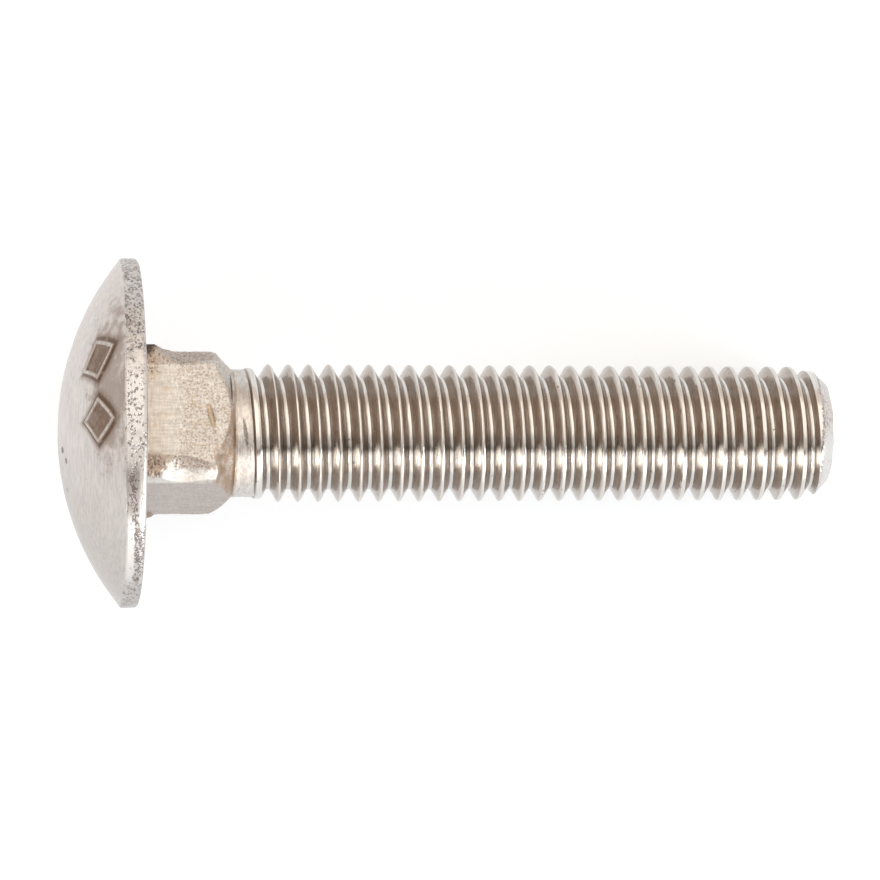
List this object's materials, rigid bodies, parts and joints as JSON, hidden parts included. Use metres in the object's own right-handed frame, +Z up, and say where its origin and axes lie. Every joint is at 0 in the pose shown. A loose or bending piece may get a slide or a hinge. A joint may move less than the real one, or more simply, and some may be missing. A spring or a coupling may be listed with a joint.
{
  "type": "carriage bolt",
  "caption": "Carriage bolt with a low domed head, a square neck under it and a coarse right-hand thread down to a bevelled tip.",
  "frame": {"origin": "on the table, below the middle of the bolt's length and width as it lies at rest on the rim of its head and on the crests near its tip", "axes": "+X from the head to the tip, along the bolt's plan; +Z up from the table. The bolt's own axis lies in the XZ plane and falls 9.1 degrees towards the tip"},
  "size_m": [0.067, 0.03, 0.0298],
  "materials": {
    "steel": "satin"
  },
  "bodies": {
    "root": {"bolt": "steel"}
  },
  "joints": []
}
